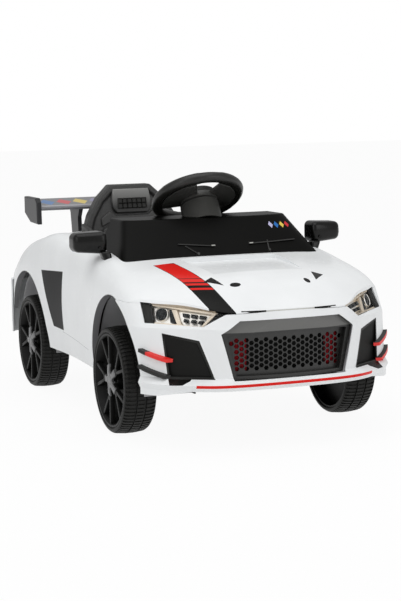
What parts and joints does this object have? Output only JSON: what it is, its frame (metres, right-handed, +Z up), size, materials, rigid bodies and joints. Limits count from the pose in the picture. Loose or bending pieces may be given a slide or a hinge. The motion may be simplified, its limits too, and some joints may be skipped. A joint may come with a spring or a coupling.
{
  "type": "electric ride-on car",
  "caption": "Child's battery ride-on car shaped like an open racing coupe, with steered front wheels, driven rear wheel, pedal, bucket seat and rear wing.",
  "frame": {"origin": "middle of the outline at the ground under the tyres", "axes": "car faces -Y, +X is the car's left side, +Z up"},
  "size_m": [0.67, 1.204, 0.5678],
  "materials": {
    "white_body": "glossy white moulded plastic",
    "black_plastic": "fine grained black plastic",
    "gloss_black": "glossy black plastic",
    "dark_grey": "satin dark grey plastic",
    "tyre_black": "hard moulded tyre",
    "rim_black": "satin black rim",
    "lamp_chrome": "vacuum plated reflector",
    "lens_clear": "clear moulded lens",
    "lens_red": "red translucent lens",
    "mirror": "mirror foil",
    "steel": "zinc plated steel",
    "nylon": "natural nylon",
    "red_plastic": "glossy red plastic"
  },
  "bodies": {
    "car": {"arch_liners": "dark_grey", "axle_nuts": "steel", "battery": "black_plastic", "body_shell": "white_body", "canards_left": "black_plastic", "canards_right": "black_plastic", "charging_socket": "black_plastic", "chassis_tub": "dark_grey", "controller_box": "black_plastic", "dashboard": "black_plastic", "front_bumper": "white_body", "gearbox_case": "black_plastic", "gearbox_cover": "black_plastic", "grille": "gloss_black", "headlight_housing_left": "lamp_chrome", "headlight_housing_right": "lamp_chrome", "headlight_lens_left": "lens_clear", "headlight_lens_right": "lens_clear", "intake_left": "black_plastic", "intake_right": "black_plastic", "mirror_glasses": "mirror", "mirror_left": "gloss_black", "mirror_right": "gloss_black", "motor": "steel", "rear_axle": "steel", "rear_bumper": "white_body", "screws": "steel", "seat": "black_plastic", "side_blade_left": "dark_grey", "side_blade_right": "dark_grey", "speaker": "black_plastic", "tail_lamp_left": "lens_red", "tail_lamp_right": "lens_red", "windscreen_cowl": "gloss_black", "wing_blade": "dark_grey", "wing_endplate_left": "dark_grey", "wing_endplate_right": "dark_grey", "wing_stays": "dark_grey"},
    "steering": {"steering_wheel": "black_plastic", "steering_pad": "black_plastic", "steering_shaft": "steel"},
    "horn": {"horn_button": "red_plastic"},
    "music": {"music_button": "red_plastic"},
    "linkage": {"tie_rod": "steel"},
    "front_left_knuckle": {"knuckle_left": "steel"},
    "front_right_knuckle": {"knuckle_right": "steel"},
    "front_left_wheel": {"tyre_front_left": "tyre_black", "rim_front_left": "rim_black"},
    "front_right_wheel": {"tyre_front_right": "tyre_black", "rim_front_right": "rim_black"},
    "rear_left_wheel": {"tyre_rear_left": "tyre_black", "rim_rear_left": "rim_black"},
    "rear_right_wheel": {"tyre_rear_right": "tyre_black", "rim_rear_right": "rim_black", "output_gear": "nylon"},
    "idler": {"idler_gear": "nylon"},
    "motor_rotor": {"pinion": "nylon"},
    "accelerator": {"pedal": "black_plastic"},
    "power": {"power_button": "red_plastic"},
    "direction": {"direction_switch": "black_plastic"}
  },
  "joints": [
    {"name": "steering_turn", "type": "hinge", "parent": "car", "child": "steering", "pos_m": [0, -0.066, 0.503], "axis": [0, 0.521, 0.8536], "range_deg": [-25, 25]},
    {"name": "front_left_swing", "type": "hinge", "parent": "car", "child": "front_left_knuckle", "pos_m": [0.21, -0.28, 0.12], "axis": [0, 0, 1], "range_deg": [-25, 25]},
    {"name": "front_right_swing", "type": "hinge", "parent": "car", "child": "front_right_knuckle", "pos_m": [-0.21, -0.28, 0.12], "axis": [0, 0, 1], "range_deg": [-25, 25]},
    {"name": "tie_rod_pivot", "type": "hinge", "parent": "front_right_knuckle", "child": "linkage", "pos_m": [-0.21, -0.235, 0.144], "axis": [0, 0, 1], "range_deg": [-25, 25]},
    {"name": "front_left_roll", "type": "hinge", "parent": "front_left_knuckle", "child": "front_left_wheel", "pos_m": [0.266, -0.28, 0.12], "axis": [1, 0, 0], "continuous": true},
    {"name": "front_right_roll", "type": "hinge", "parent": "front_right_knuckle", "child": "front_right_wheel", "pos_m": [-0.266, -0.28, 0.12], "axis": [1, 0, 0], "continuous": true},
    {"name": "rear_left_roll", "type": "hinge", "parent": "car", "child": "rear_left_wheel", "pos_m": [0.266, 0.375, 0.12], "axis": [1, 0, 0], "continuous": true},
    {"name": "rear_right_roll", "type": "hinge", "parent": "car", "child": "rear_right_wheel", "pos_m": [-0.266, 0.375, 0.12], "axis": [1, 0, 0], "continuous": true},
    {"name": "idler_spin", "type": "hinge", "parent": "car", "child": "idler", "pos_m": [-0.2, 0.35471, 0.1635], "axis": [1, 0, 0], "continuous": true},
    {"name": "motor_spin", "type": "hinge", "parent": "car", "child": "motor_rotor", "pos_m": [-0.19, 0.32873, 0.1785], "axis": [1, 0, 0], "continuous": true},
    {"name": "pedal_press", "type": "hinge", "parent": "car", "child": "accelerator", "pos_m": [-0.075, -0.112, 0.126], "axis": [1, 0, 0], "range_deg": [0, 12], "stiffness_Nm_per_rad": 0.6, "springref_deg": -8.02},
    {"name": "power_push", "type": "slide", "parent": "car", "child": "power", "axis": [0, -1, 0], "range_m": [0, 0.003], "stiffness_N_per_m": 250, "springref_m": -0.001},
    {"name": "direction_rock", "type": "hinge", "parent": "car", "child": "direction", "pos_m": [-0.13, -0.0275, 0.405], "axis": [1, 0, 0], "range_deg": [-7, 7]},
    {"name": "horn_push", "type": "slide", "parent": "steering", "child": "horn", "axis": [0, -0.521, -0.8536], "range_m": [0, 0.0025], "stiffness_N_per_m": 250, "springref_m": -0.001},
    {"name": "music_push", "type": "slide", "parent": "steering", "child": "music", "axis": [0, -0.521, -0.8536], "range_m": [0, 0.0025], "stiffness_N_per_m": 250, "springref_m": -0.001}
  ],
  "couplings": [
    {"joint": "front_left_swing", "follows": "steering_turn", "ratio": 1},
    {"joint": "front_right_swing", "follows": "steering_turn", "ratio": 1},
    {"joint": "tie_rod_pivot", "follows": "steering_turn", "ratio": -1},
    {"joint": "idler_spin", "follows": "rear_right_roll", "ratio": -3.5714},
    {"joint": "motor_spin", "follows": "rear_right_roll", "ratio": 14.286}
  ]
}
